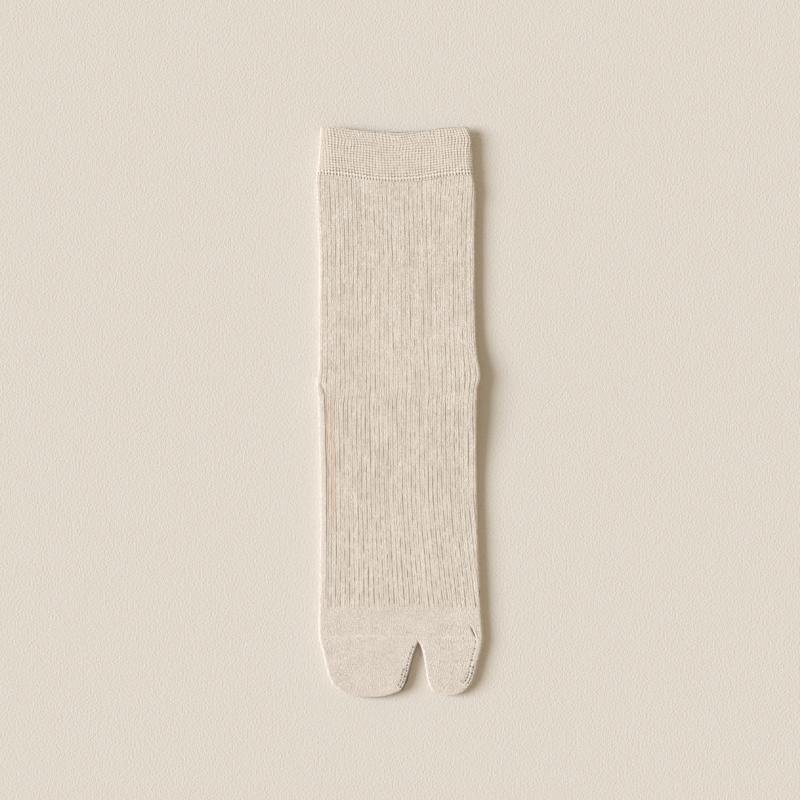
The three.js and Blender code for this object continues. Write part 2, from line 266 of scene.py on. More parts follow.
def heel_lift(y):
    """How far the folded heel pockets lift the upper sock: up from the leg, down to the toes."""
    from_leg = 1.0 - smoothstep(y, HEEL_LIFT["leg_top"], HEEL_LIFT["leg_end"])
    from_toe = smoothstep(y, HEEL_LIFT["toe_end"], HEEL_LIFT["toe_top"])
    return HEEL_LIFT["height"] * from_leg * from_toe


def sag(x, left, right, dip):
    """A raised cosine across the sock, dip in the middle and zero at the sides."""
    across = np.clip((2.0 * x - left - right) / (right - left), -1.0, 1.0)
    return dip * 0.5 * (1.0 + np.cos(np.pi * across))


def fold_round(inward):
    """Round of a side fold, a little fuller than a quarter circle: 0 at the edge, 1 from FOLD_REACH
    inwards."""
    curl = 1.0 - np.clip(inward / FOLD_REACH, 0.0, 1.0)
    return np.sqrt(np.maximum(1.0 - curl**3, 0.0))


def creases(x, y):
    """The sum of the listed creases, each a soft bell along and across its own direction."""
    height = np.zeros(np.broadcast(x, y).shape)
    for middle_x, middle_y, degrees, length, width, rise in CREASES:
        turn = np.radians(degrees)
        along = (x - middle_x) * np.cos(turn) + (y - middle_y) * np.sin(turn)
        across = (y - middle_y) * np.cos(turn) - (x - middle_x) * np.sin(turn)
        height += rise * np.exp(-((along / length) ** 2) ** 1.5 - (across / width) ** 2)
    return height


def lie(x, y):
    """Slow, uneven waves of cloth that isn't quite flat, from five sines of odd lengths."""
    return 0.07 * (
        np.sin(x / 9.1 + y / 37.0)
        + np.sin(x / 23.0 - y / 17.3 + 1.0)
        + np.sin(y / 11.7 + x / 51.0 + 2.1)
        + 0.6 * np.sin(x / 5.3 + y / 61.0 + 0.4)
        + 0.6 * np.sin(y / 6.1 - x / 19.0 + 3.0)
    )


# ---- meshes ----------------------------------------------------------------------------------


def grid_triangles(rows, columns, start, closed):
    """Triangles of a grid of points, rows by columns, whose last column joins the first if closed.
    In an open grid the cells of the first column are cut the other way, so that no triangle has all
    its corners on the grid's edge there."""
    row = np.arange(rows - 1)[:, None] * columns
    column = np.arange(columns if closed else columns - 1)[None, :]
    a = row + column
    b = row + (column + 1) % columns
    quads = np.stack([a, b, b + columns, a + columns], axis=-1) + start
    turned = quads[:, :0 if closed else 1].reshape(-1, 4)
    quads = quads[:, 0 if closed else 1:].reshape(-1, 4)
    return np.concatenate([
        quads[:, [0, 1, 2]], quads[:, [0, 2, 3]], turned[:, [0, 1, 3]], turned[:, [1, 2, 3]],
    ])


def strip_triangles(first, second, closed):
    """Triangles between two lines of point numbers of one length."""
    if closed:
        first, second = np.append(first, first[0]), np.append(second, second[0])
    a, b, c, d = first[:-1], first[1:], second[1:], second[:-1]
    return np.concatenate([np.stack([a, b, c], 1), np.stack([a, c, d], 1)])


def weld(points, triangles, *values):
    """Joins points that lie within a ten-thousandth of a millimetre, and drops empty triangles."""
    keys = np.round(points * 1e4).astype(np.int64)
    _, first, where = np.unique(keys, axis=0, return_index=True, return_inverse=True)
    triangles = where.reshape(-1)[triangles]
    a, b, c = triangles.T
    keep = (a != b) & (b != c) & (c != a)
    return (points[first], triangles[keep], *[v[first] for v in values])


def make_piece(name, points, triangles, material, knit=None, tone=None):
    """An object from arrays. knit carries the wale and course numbers of the stitches, tone how far
    each point is down in a hollow as painted shade, then paler yarn and painted highlight, and the
    tan-tinted ribs."""
    knit = np.zeros((len(points), 3)) if knit is None else knit
    tone = np.zeros((len(points), 3)) if tone is None else tone
    points, triangles, knit, tone = weld(points, triangles, knit, tone)
    mesh = bpy.data.meshes.new(name)
    mesh.vertices.add(len(points))
    mesh.vertices.foreach_set("co", (points * MM).astype(np.float32).ravel())
    mesh.loops.add(triangles.size)
    mesh.loops.foreach_set("vertex_index", triangles.astype(np.int32).ravel())
    mesh.polygons.add(len(triangles))
    mesh.polygons.foreach_set("loop_start", np.arange(0, triangles.size, 3, dtype=np.int32))
    mesh.polygons.foreach_set("use_smooth", np.ones(len(triangles), dtype=bool))
    mesh.update(calc_edges=True)
    mesh.validate()
    for attribute, values in (("knit", knit), ("tone", tone)):
        made = mesh.attributes.new(attribute, "FLOAT_VECTOR", "POINT")
        made.data.foreach_set("vector", values.astype(np.float32).ravel())
    turn_outwards(mesh)
    mesh.materials.append(material)
    piece = bpy.data.objects.new(name, mesh)
    bpy.context.collection.objects.link(piece)
    return piece


def turn_outwards(mesh):
    """Turns every face to the outside of its closed mesh."""
    work = bmesh.new()
    work.from_mesh(mesh)
    bmesh.ops.recalc_face_normals(work, faces=work.faces)
    work.to_mesh(mesh)
    work.free()


# ---- a stretch of tube -----------------------------------------------------------------------


def rib_columns():
    """Places across the ribbed top, ten to a rib, close together at its two grooves."""
    steps = np.array([0.0, 0.08, 0.17, 0.33, 0.43, 0.5, 0.57, 0.67, 0.83, 0.92])
    return np.append((np.arange(RIBS)[:, None] + steps).ravel() / RIBS, 1.0)


def even_columns(count):
    """Places from 0 to 1, closer together at both ends, where the cloth folds over."""
    t = np.linspace(0.0, 1.0, count)
    return t - 0.72 * np.sin(2.0 * np.pi * t) / (2.0 * np.pi)


def spread(over, y, left, right, rib_edges):
    """Where the places across the top come to lie: even between the calm edges of rib_edges, while
    the outermost ribs on each side take up the bulges of the heel."""
    if rib_edges is None:
        return blend(right, left, over)
    calm_left, calm_right = (v[:, None] for v in edges_at(y[:, 0], rib_edges))
    near_right = 1.0 - smoothstep(over, 0.0, 0.12)
    near_left = smoothstep(over, 0.88, 1.0)
    x = blend(calm_right, calm_left, over)
    return x + (right - calm_right) * near_right + (left - calm_left) * near_left


def rib_lean(x, y):
    """How far the ribs have drifted to the big-toe side: a square towards the cuff, a soft step at
    the heel and a power of 1.25 towards the toes, where the middle and the right lean and the left
    stays."""
    cuff_from, toe_from = RIB_LEAN["cuff_from"], RIB_LEAN["toe_from"]
    at_cuff = RIB_LEAN["cuff"] * np.clip((y - cuff_from) / (CUFF_SEAM - cuff_from), 0.0, 1.0) ** 2
    at_heel = RIB_LEAN["heel"] * (1.0 - smoothstep(y, 16.0, 45.0))
    at_toe = RIB_LEAN["toe"] * np.clip((toe_from - y) / (toe_from - TOE_LINE), 0.0, 1.0) ** 1.25
    return (
        at_cuff * smoothstep(x, 0.0, 32.0) + at_heel * smoothstep(x, -20.0, 10.0)
        + at_toe * smoothstep(x, -45.0, 25.0)
    )


def round_the_fold(x, right):
    """Places that lean past the right fold come back underneath: x, and 1 on top or -1 below."""
    past = np.maximum(x - right, 0.0)
    return x - 2.0 * past, np.where(past > 0.0, -1.0, 1.0)


def tube_rings(y, left, right, base, walls, dip, over, under, surface, end_round, rib_edges):
    """Rings of points round a flat tube, a row for each y: over the top from right to left and back
    underneath. Outside, the height is the middle of the tube plus or minus half its thickness
    times the fold's round. surface gives what stands on the top. Where end_round isn't zero, the
    wall is rounded by an ellipse, outside and inside, over that many millimetres at the first end
    and over two fifths of that at the last."""
    thick = sum(walls.values())
    y, left, right, base, dip = (v[:, None] for v in (y, left, right, base, dip))
    from_end = np.minimum(np.abs(y - y[0]), 2.5 * np.abs(y[-1] - y))
    curl = 1.0 - np.clip(from_end / end_round, 0.0, 1.0) if end_round else 0.0 * y
    # Nearly half the wall at the very end, so that its two sides come close but never touch.
    pinch = 0.5 * min(walls["under"], walls["over"]) * (1.0 - np.sqrt(1.0 - curl * curl)) * 0.96

    x_over = spread(over, y, left, right, rib_edges)
    lean = 0.0 * x_over if rib_edges is None else rib_lean(x_over, y)
    x_over, side = round_the_fold(x_over + lean, right)
    x_under = left + (right - lean[:, :1] - left) * under[1:-1]
    x = np.concatenate([x_over, x_under], axis=1)
    sign = np.concatenate([side, -np.ones_like(x_under)], axis=1)
    flat = fold_round(np.minimum(x - left, right - x))
    half = thick / 2.0
    shift, rise, knit, tone = surface(over, x_over, y, left, right)
    pad = ((0, 0), (0, x_under.shape[1]))
    z = base + half + sign * (half - pinch) * flat
    z = z + np.pad(rise * side, pad) * flat * (1.0 - curl * 0.9)
    x = x + np.pad(shift * side, pad) * flat
    outer = np.stack([x, y - sag(x, left, right, dip), z], axis=-1)

    middle = base + walls["under"] + walls["lumen"] / 2.0
    half_in = walls["lumen"] / 2.0 + pinch
    left_in, right_in = left + SIDE_WALL - pinch, right - SIDE_WALL + pinch
    x_in, side = round_the_fold(right_in + (left_in - right_in) * over + lean, right_in)
    x_back = left_in + (right_in - lean[:, :1] - left_in) * under[1:-1]
    x_in = np.concatenate([x_in, x_back], axis=1)
    sign = np.concatenate([side, -np.ones_like(x_back)], axis=1)
    tip = np.clip(np.minimum(x_in - left_in, right_in - x_in) / SLIT_ROUND, 0.0, 1.0)
    z_in = middle + sign * half_in * np.sqrt(tip)
    inner = np.stack([x_in, y - sag(x_in, left, right, dip), z_in], axis=-1)
    way_back = (1.0 - under[1:-1])[None, :, None]
    knit = np.concatenate([knit, blend(knit[:, :1], knit[:, -1:], way_back)], axis=1)
    return outer, inner, knit, np.concatenate([tone, 0.0 * tone[:, -1:] * way_back], axis=1)


def tube_piece(name, material, y, table, base, walls, dip, over, under, surface,
               slip=0.0, drop=0.0, end_round=0.0, inner_rows=14, rib_edges=None):
    """A closed wall: the outer rings, the inner rings at fewer rows, and a rim at each open end."""
    left, right = edges_at(y, table)
    outer, inner, knit, tone = tube_rings(
        y - drop, left + slip, right + slip, base, walls, dip, over, under, surface, end_round,
        rib_edges)
    rows, columns = outer.shape[:2]
    middle = np.linspace(0, rows - 1, inner_rows).round().astype(int)
    kept = np.unique(np.concatenate([np.arange(3), middle, rows - 1 - np.arange(3)]))
    inner = inner[kept]
    points = np.concatenate([outer.reshape(-1, 3), inner.reshape(-1, 3)])
    start = rows * columns
    ring = np.arange(columns)
    last = (rows - 1) * columns + ring
    triangles = np.concatenate([
        grid_triangles(rows, columns, 0, True),
        grid_triangles(len(kept), columns, start, True)[:, ::-1],
        strip_triangles(start + ring, ring, True),
        strip_triangles(last, start + (len(kept) - 1) * columns + ring, True),
    ])
    return make_piece(
        name, points, triangles, material,
        np.concatenate([knit.reshape(-1, 3), knit[kept].reshape(-1, 3)]),
        np.concatenate([tone.reshape(-1, 3), 0.0 * knit[kept].reshape(-1, 3)]))


# ---- surfaces of the zones -------------------------------------------------------------------


def painted_crease_shade(height):
    """How dark the painted shade at the bottom of a narrow, deep crease is, from 0 to 1."""
    return np.clip(-1.6 * height - 0.3, 0.0, 1.0)


def rib_grooves(rib, x, y, left, right, drift):
    """How deep each point is in the groove at its rib's edge and in the one down its middle: bells
    across the rib, times a depth that wanders along it. They blur at the heel line and end before
    the left fold."""
    line = np.clip(np.rint(rib).astype(int), 0, RIBS)
    within = np.clip(rib.astype(int), 0, RIBS)
    pitch = (right - left) / RIBS
    from_line = np.abs(rib - line)
    blur = 0.5 * bell(y - HEEL_LINE, 3.2) * (0.6 + 0.4 * drift(20.0, line))
    clear = smoothstep(x - left, 1.3, 3.5) * (1.0 - blur)
    low_foot = 1.0 - smoothstep(y, -85.0, -50.0)
    uneven = 0.66 + 0.42 * drift(3.2, line) + (0.30 - 0.14 * low_foot) * drift(20.0, line)
    uneven = np.clip(uneven + 0.40 * low_foot * drift(1.9, line), 0.0, 1.3)
    groove = bell(from_line * pitch, GROOVE_WIDTH) * clear * uneven
    uneven = np.clip(0.34 + 0.40 * drift(3.2, within) + 0.34 * drift(24.0, within), 0.0, 1.1)
    middle = bell((from_line - 0.5) * pitch, MIDDLE_WIDTH) * clear * uneven
    return line, from_line, groove, middle


def ribbed_surface(over, x, y, left, right):
    """Ribs of two wales with their grooves and a low crown, a sine, on each wale. At the heel line
    the ribs step sideways, and on the foot the sole's plain strip shows at the left fold, painted
    paler, with a narrow, shallow groove beside it. The grooves, that line, the left fold and the
    creases get painted shade. Gives the shift sideways, the rise, the stitch numbers and the tones."""
    rib = over * RIBS + 0.0 * y
    rows = np.arange(len(y))[:, None]
    places = y[0, 0] - y[:, 0]

    def drift(knot, which):
        return wander(RIBS + 1, places, knot, RANDOM).T[rows, which]

    line, from_line, groove, middle = rib_grooves(rib, x, y, left, right, drift)
    on_foot = 1.0 - smoothstep(y, HEEL_LIFT["toe_top"], HEEL_LIFT["leg_top"])
    in_reach = smoothstep(y, *SOLE_FADE)
    on_sole = (1.0 - smoothstep(x - left, SOLE_EDGE - 1.2, SOLE_EDGE)) * in_reach
    ribbed = (1.0 - on_foot * on_sole) * smoothstep(y, TOE_LINE, TOE_LINE + 1.2)
    sole_line = bell(x - left - SOLE_EDGE - 0.1, 0.28) * on_foot * in_reach
    sole_line = sole_line * (0.6 + 0.4 * smoothstep(y, -70.0, -50.0))
    folds = creases(x, y)
    crown = 0.05 * np.sin(2.0 * np.pi * from_line)
    rise = (-0.95 * RIB_DEPTH * (groove + 0.7 * middle) + crown) * ribbed - 0.20 * sole_line
    rise = rise + folds + lie(x, y)
    turn_at = HEEL_LINE - 1.0 + 3.0 * drift(60.0, line)
    step = -0.8 * (1.0 - smoothstep(y, turn_at - 4.0, turn_at + 4.0))
    step = step * smoothstep(right - x, 0.5, 6.0) * smoothstep(x - left, 4.5, 9.0)
    shift = 0.27 * drift(17.0, line) * ribbed + step

    wale = 2.0 * rib
    knit = np.stack([wale, y / COURSE + 0.0 * wale, 0.0 * wale], axis=-1)
    # Painted shade at the left fold, to dull its highlight.
    painted_fold_shade = 1.0 - smoothstep(x - left, 0.4, 2.0)
    # Painted shade: the grooves, the sole's line and the creases are darkened in colour where shade
    # falls.
    painted_shade = (0.90 * groove + 0.48 * middle) * (0.96 + 0.14 * on_foot) * ribbed
    painted_shade = np.clip(painted_shade + 0.8 * sole_line + 0.16 * painted_fold_shade + painted_crease_shade(folds), 0.0, 1.0)
    pale_and_highlight = 0.25 * on_sole * on_foot * smoothstep(x - left, 0.6, 1.8)
    tan = smoothstep(x - left, 4.4, 5.2) * (1.0 - smoothstep(x - left, 8.6, 10.6))
    tan = tan * smoothstep(y, -72.0, -55.0) * (1.0 - smoothstep(y, 4.0, 12.0))
    return shift, rise, knit, np.stack([painted_shade, pale_and_highlight, tan], axis=-1)


def welt_surface(over, x, y, left, right):
    """The cuff's knit: a round knuckle at each stitch and a pit between four of them, each a little
    higher or lower than the next. They are out of line near the top and fade at the left fold, and
    near the seam every second column steps half a stitch. Along the seam runs an edge, above it
    a row of gaps and then a row of bigger loops. Knuckles, loops and edge are painted paler as
    highlight; pits, gaps, a groove by the right fold, the top edge and the left fold get painted
    shade."""
    unrest = smoothstep(y, 146.0, 164.0)
    near_seam = 1.0 - smoothstep(y, CUFF_SEAM + 2.0, CUFF_SEAM + 6.5)
    wale = (right - x) / WELT_WALE + (0.08 + 0.30 * unrest) * np.sin(y / 3.1 + x / 5.2)
    zigzag = 0.5 * near_seam * np.abs(np.mod(wale, 2.0) - 1.0)
    course = (y - CUFF_SEAM) / WELT_COURSE + (0.06 + 0.30 * unrest) * np.sin(x / 4.3 - y / 7.0)
    course = course + zigzag
    i = np.rint(wale).astype(int)
    j = np.rint(course).astype(int)
    uneven = RANDOM.uniform(0.35, 1.35, (np.ptp(i) + 1, np.ptp(j) + 1))[i - i.min(), j - j.min()]
    uneven = uneven * (0.15 + 0.85 * smoothstep(x - left, 2.4, 6.8)) * (1.0 + 0.6 * near_seam)
    column = 0.5 + 0.5 * np.cos(2.0 * np.pi * wale)
    row = 0.5 + 0.5 * np.cos(2.0 * np.pi * course)
    pit = (1.0 - column) * (1.0 - row) * np.minimum(uneven + 0.15, 1.0)
    rise = 0.28 * uneven * column * (0.30 + 0.70 * row) - 0.14 * pit - 0.09 + 0.7 * lie(x, y)
    # A groove near the right fold, also darkened in colour as painted shade.
    hem = bell(right - x - 1.7, 0.42) * (1.0 - smoothstep(y, 159.0, 161.5))
    rise = rise - 0.26 * hem

    above = y - CUFF_SEAM + 0.6 * np.abs(np.mod(wale, 2.0) - 1.0) - 0.3
    seam = bell(above - LOOP_ROW, 0.6)
    loops = seam * column
    gaps = bell(above - GAP_ROW, 0.45) * (1.0 - column) ** 2
    edge = 1.0 - smoothstep(y, CUFF_SEAM + 0.2, CUFF_SEAM + 1.0)
    rise = rise * (1.0 - seam) * (1.0 - edge) + 0.32 * loops - 0.34 * gaps + 0.12 * edge * column
    knit = np.stack([wale, course, 0.0 * wale], axis=-1)
    # Painted shadow along the cuff's top edge, growing towards the right.
    painted_rim_shade = (1.0 - smoothstep(TOP_EDGE - y, 0.1, 0.8)) * smoothstep(x - left, 8.0, 22.0)
    painted_fold_shade = 1.0 - smoothstep(x - left, 0.4, 2.2)
    # Painted shade: the pits, the groove, the gaps, the top edge and the left fold are darkened in
    # colour.
    painted_shade = 0.85 * pit * uneven * (1.0 - seam) * (1.0 - edge)
    painted_shade = np.clip(painted_shade + 0.4 * hem + 0.85 * gaps + 0.4 * painted_rim_shade + 0.12 * painted_fold_shade, 0.0, 1.0)
    # The knuckles, the seam's loops and its edge are painted paler as highlight.
    pale_and_highlight = np.clip(0.9 * column * row * uneven + 0.45 * loops + 0.35 * edge, 0.0, 1.0)
    return 0.0 * x, rise, knit, np.stack([painted_shade, pale_and_highlight, 0.0 * x], axis=-1)


def plain_surface(over, x, y, left, right):
    """Plain cloth, with slow waves only."""
    wale = over * RIBS * 2.0 + 0.0 * y
    knit = np.stack([wale, y / COURSE + 0.0 * wale, 0.0 * wale], axis=-1)
    return 0.0 * x, 0.4 * np.minimum(lie(x, y), 0.0), knit, 0.0 * knit


# ---- the divided toe -------------------------------------------------------------------------


def patch(top, bottom, first, second, across, down):
    """Coons patch: the blend of top and bottom lines plus the blend of both sides, less the blend
    of the four corners."""
    u, v = across[None, :, None], down[:, None, None]
    corners = (
        (1 - u) * (1 - v) * first[0] + u * (1 - v) * second[0]
        + (1 - u) * v * first[-1] + u * v * second[-1]
    )
    sides = (1 - u) * first[:, None] + u * second[:, None]
    return (1 - v) * top[None] + v * bottom[None] + sides - corners


def toe_outline():
    """The toe's edge, from the toe line round both pockets and back to the toe line."""
    lines = [
        through(OUTER_SIDE, 60), through(FOUR_TOES_END, 70), through(SPLIT_LEFT[::-1], 40),
        through(SPLIT_RIGHT, 40), through(BIG_TOE_END, 60), through(BIG_TOE_SIDE[::-1], 60),
    ]
    return np.concatenate([line[:-1] for line in lines] + [lines[-1][-1:]])


def distance_to(points, line):
    """Shortest distance from each point to a line of short straight steps."""
    flat = points.reshape(-1, 2)
    start, step = line[:-1], np.diff(line, axis=0)
    nearest = np.full(len(flat), np.inf)
    for block in np.array_split(np.arange(len(start)), 12):
        offset = flat[:, None] - start[block]
        t = np.clip((offset * step[block]).sum(-1) / (step[block] ** 2).sum(-1), 0.0, 1.0)
        gap = np.hypot(*np.moveaxis(offset - t[..., None] * step[block], -1, 0))
        nearest = np.minimum(nearest, gap.min(1))
    return nearest.reshape(points.shape[:-1])


def toe_patches(inset, columns, band_rows, pocket_rows):
    """The toe as two patches side by side, one for each pocket, which share the line from the toe
    line down to the crotch. inset moves every edge inwards. Rows lie even on the band and closer
    together towards the crotch and the tips."""
    def inwards(line, leftwards):
        return line + right_of(line) * (-inset if leftwards else inset)

    band = np.linspace(TOE_LINE, CROTCH[1] + inset, band_rows - 1)
    band = np.concatenate([band[:1], band[:1] - RIM_STEP, band[1:]])
    split_top = np.array([CROTCH[0], CROTCH[1] + inset])
    divide = np.stack([np.full(band_rows, CROTCH[0]), band], 1)
    result = []
    for outer, end, split, flip in (
        (OUTER_SIDE, FOUR_TOES_END, SPLIT_LEFT, False),
        (BIG_TOE_SIDE, BIG_TOE_END, SPLIT_RIGHT, True),
    ):
        side = inwards(through(outer, 300), not flip)
        inner = inwards(through(split, 200), flip)
        inner = np.concatenate([split_top[None], inner[inner[:, 1] < split_top[1] - 0.4]])
        bottom = inwards(through(end, 300), True)
        corner_out, corner_in = (bottom[-1], bottom[0]) if flip else (bottom[0], bottom[-1])
        t = np.linspace(0.0, 1.0, pocket_rows + 1)[1:]
        t = t + 0.25 * np.sin(np.pi * t) * t * (1 - t)
        rows_out = np.concatenate([band, split_top[1] + (corner_out[1] - split_top[1]) * t])
        rows_in = split_top[1] + (corner_in[1] - split_top[1]) * t
        first = np.stack([np.interp(-rows_out, -side[:, 1], side[:, 0]), rows_out], 1)
        first[-1] = corner_out
        second = np.stack([np.interp(-rows_in, -inner[:, 1], inner[:, 0]), rows_in], 1)
        second[-1] = corner_in
        second = np.concatenate([divide, second])
        if flip:
            first, second = second, first
        across = even_columns(columns[flip])
        bottom = at_runs(bottom, across * run_along(bottom)[-1])
        top = blend(first[0], second[0], across[:, None])
        down = np.linspace(0.0, 1.0, len(first))
        result.append(patch(top, bottom, first, second, across, down ** 1.6))
    return result


def seam_line(line, start_below):
    """A seam along one side of a pocket: places, their unit vectors inwards, the run of each and
    the run at which the seam starts."""
    edge = through(line, 400)
    run = run_along(edge)
    return edge, right_of(edge), run, run[np.argmax(edge[:, 1] < start_below)]


# The two linked seams: their line, where they start, how far inside the edge their rows of open
# stitches run and at which share of the seam each begins, then the same distance for the rolled
# welt, its half width, and the depth of the painted shade on the lip outside it.
GORE_SEAMS = (
    (SPLIT_LEFT[:-1] + FOUR_TOES_END[:-3:-1], -136.4, ((1.65, 0.0), (3.2, 0.5)), 0.95, 0.42, 0.9),
    (BIG_TOE_SIDE + BIG_TOE_END[-2:-3:-1], -137.5, ((3.7, 0.0), (1.7, 0.42), (5.0, 0.6)),
     2.7, 0.62, 0.0),
)


def gore_seams(points, under):
    """The linked seam on each pocket's big-toe side: rows of open stitches, each an oval bell with
    a loop beside it that is painted paler as highlight, and a rolled welt, a bell across the seam
    by a sine along its twist. Gives the depth of the holes, the height of the welt and the painted
    shade of the lip, which on the under sock grows inwards."""
    holes, welt, painted_lip_shade = (np.zeros(points.shape[:-1]) for _ in range(3))
    for line, start_below, rows, welt_inset, half_width, shade in GORE_SEAMS:
        edge, inward, run, start = seam_line(line, start_below)
        for order, (inset, begins) in enumerate(rows):
            first = start + begins * (run[-1] - start) + 0.6 * order
            places = np.arange(first, run[-1], LINKING_STEP)
            for number, at in enumerate(places):
                i = min(int(np.searchsorted(run, at)), len(edge) - 1)
                spot = edge[i] + inward[i] * inset + RANDOM.uniform(-0.15, 0.15, 2)
                away = points - spot
                across = away[..., 0] * inward[i, 0] + away[..., 1] * inward[i, 1]
                down = away[..., 0] * inward[i, 1] - away[..., 1] * inward[i, 0]
                depth = (1.0, 0.6)[number % 2] * (1.0, 1.0, 0.5)[order] * RANDOM.uniform(0.75, 1.0)
                size = RANDOM.uniform(0.42, 0.54)
                hole = np.exp(-((across / size) ** 2) - (down / size / 1.25) ** 2)
                holes = np.maximum(holes, depth * hole)
                loop = np.exp(-(((across + 0.75) / 0.42) ** 2) - (((down + 0.88) / 0.5) ** 2))
                welt = np.maximum(welt, RANDOM.uniform(0.5, 1.3) * loop)
        twist = np.sin((points[..., 1] + 0.9 * points[..., 0]) * 2.0 * np.pi / 1.7)
        from_welt = distance_to(points, edge[::6] + inward[::6] * welt_inset)
        near = smoothstep(-points[..., 1], -start_below - 5.0, -start_below - 2.5)
        welt = np.maximum(welt, bell(from_welt, half_width) * near * (0.6 + 0.4 * twist))
        from_edge = distance_to(points, edge[::6])
        begin, whole = (1.8, 3.2) if under else (-18.0, -10.0)
        near = smoothstep(-points[..., 1], -start_below - whole, -start_below - begin)
        deep = 1.0 - smoothstep(from_edge, 0.35, 0.75)
        if under:
            deep = smoothstep(from_edge, -0.4, 1.1)
        # Painted shade on the lip by the split, where little light comes in.
        painted_lip_shade = np.maximum(painted_lip_shade, deep * (from_edge < 2.0) * near * (shade + 0.25 * shade * twist))
    return holes, welt, painted_lip_shade


# Where the toe starts to narrow, one row of stitches stands up: x, and how much of it shows there.
NARROWING_ROW = np.array([
    (-47.0, 0.3), (-41.0, 0.5), (-34.0, 0.2), (-28.0, 0.4), (-25.0, 1.0), (-17.0, 1.0),
    (-14.0, 0.5), (-6.0, 0.3), (2.0, 0.6), (8.0, 0.3), (22.0, 0.3), (28.0, 0.9), (32.0, 0.8),
    (36.0, 0.3), (48.0, 0.2),
])


def narrowing_row(x, y):
    """A row of small loops side by side: a raised cosine along it by a bell across it."""
    shows = np.interp(x, *NARROWING_ROW.T)
    loops = 0.15 + 0.85 * (0.5 + 0.5 * np.cos(x * 2.0 * np.pi / 1.9 + 0.8 * np.sin(x / 3.7)))
    middle = NARROWING_Y - 0.5 * np.sin(x / 11.0)
    return shows * loops * bell(y - middle, 0.62)


def toe_border(shape, number, band_rows):
    """Which points of a patch lie on the toe's edge: its outer side, its tip and the split."""
    border = np.zeros(shape, dtype=bool)
    outer, inner = (0, -1) if number == 0 else (-1, 0)
    border[:, outer] = True
    border[-1] = True
    border[band_rows - 1:, inner] = True
    return border


def toe_surface(part, edge, shaped):
    """What stands on the toe's top and its tones, edge being the distance in from the outline: the
    seams, the row of loops and the creases, with painted shade in the holes, the creases and on the
    lip, painted highlight on the welts and loops, and a painted shadow on the wide pocket's rim at
    the split."""
    x, y = part[..., 0], part[..., 1]
    holes, welt, painted_lip_shade = gore_seams(part, not shaped)
    holes = holes * smoothstep(edge, 0.1, 0.6)
    folds = creases(x, y) if shaped else 0.0 * x
    welt = np.maximum(welt, 1.4 * narrowing_row(x, y) * shaped)
    rise = folds + shaped * lie(x, y) - 0.5 * holes + 0.26 * welt
    # Painted shadow along the rim of the wide pocket's end.
    painted_rim_shade = 0.6 * (1.0 - smoothstep(edge, 0.35, 0.8)) * shaped
    painted_rim_shade = painted_rim_shade * smoothstep(x, -24.0, -12.0) * (x < 4.0) * (y < -155.0)
    # dark is painted shade: the open stitches, the lip, the pocket's rim and the creases are
    # darkened in colour.
    dark = np.clip(1.2 * holes + np.maximum(painted_lip_shade, painted_rim_shade) + painted_crease_shade(folds), 0.0, 1.0)
    # The welts and the row of loops are painted paler as highlight.
    pale_and_highlight = np.minimum(0.9 * welt, 1.0) * (1.0 - holes) * (1.0 - painted_lip_shade)
    return rise, np.stack([dark, pale_and_highlight, 0.0 * x], axis=-1)


INNER_TOE_ROWS = (6, 14)  # on the band and on the pockets, where nothing shows


def toe_piece(name, material, base, walls, slip, columns, rows, shaped):
    """The toe's wall: outside and inside, each a top and an underside made of two patches, joined
    along the edges, with a rim at the toe line. Outside, the height is the middle plus or minus
    half the thickness times the fold's round, inside, half the slit times a square root."""
    outline = toe_outline()
    half = sum(walls.values()) / 2.0
    points, triangles, knits, tones, rims = [], [], [], [], []
    count = 0
    for inset, row_counts in ((0.0, rows), (SIDE_WALL, INNER_TOE_ROWS)):
        for number, part in enumerate(toe_patches(inset, columns, *row_counts)):
            shape = part.shape[:2]
            x, y = part[..., 0], part[..., 1]
            border = toe_border(shape, number, row_counts[0])
            edge = np.where(border, inset, distance_to(part, outline))
            knit = np.stack([x / WALE, y / COURSE, 0.0 * x], axis=-1)
            for sign in (1.0, -1.0):
                tone = 0.0 * knit
                if inset:
                    inside = np.clip((edge - SIDE_WALL) / SLIT_ROUND, 0.02, 1.0)
                    inside = 1.0 + sign * np.sqrt(np.where(border, 0.0, inside))
                    z = base + walls["under"] + walls["lumen"] / 2.0 * inside
                else:
                    z = base + half + sign * half * fold_round(edge)
                    if sign > 0:
                        rise, tone = toe_surface(part, edge, shaped)
                        z = z + rise * fold_round(edge)
                outside = (inset == 0.0) == (sign > 0)
                grid = grid_triangles(*shape, count, False)
                triangles.append(grid if outside else grid[:, ::-1])
                rims.append(count + np.arange(shape[1]))
                points.append(np.stack([x + slip, y, z], axis=-1).reshape(-1, 3))
                knits.append(knit.reshape(-1, 3))
                tones.append(tone.reshape(-1, 3))
                count += shape[0] * shape[1]
    for outside, inside in zip(rims[:4], rims[4:]):
        triangles.append(strip_triangles(outside, inside, False))
    return make_piece(name, np.concatenate(points), np.concatenate(triangles), material,
                      np.concatenate(knits), np.concatenate(tones))


# ---- materials -------------------------------------------------------------------------------


def add_node(tree, kind, links=(), **settings):
    """Adds a node with its settings and its links, each (input, node, output)."""
    made = tree.nodes.new(kind)
    for key, value in settings.items():
        if key.startswith("in_"):
            made.inputs[int(key[3:])].default_value = value
        else:
            setattr(made, key, value)
    for socket, source, output in links:
        tree.links.new(source.outputs[output], made.inputs[socket])
    return made


def new_material(name, roughness, sheen):
    """A matt material, with a sheen where fibres stand up: its data, its tree and its shader."""
    material = bpy.data.materials.new(name)
    material.use_nodes = True
    tree = material.node_tree
    shader = tree.nodes["Principled BSDF"]
    shader.inputs["Roughness"].default_value = roughness
    shader.inputs["Specular IOR Level"].default_value = 0.25
    shader.inputs["Sheen Weight"].default_value = sheen
    shader.inputs["Sheen Roughness"].default_value = 0.6
    return material, tree, shader


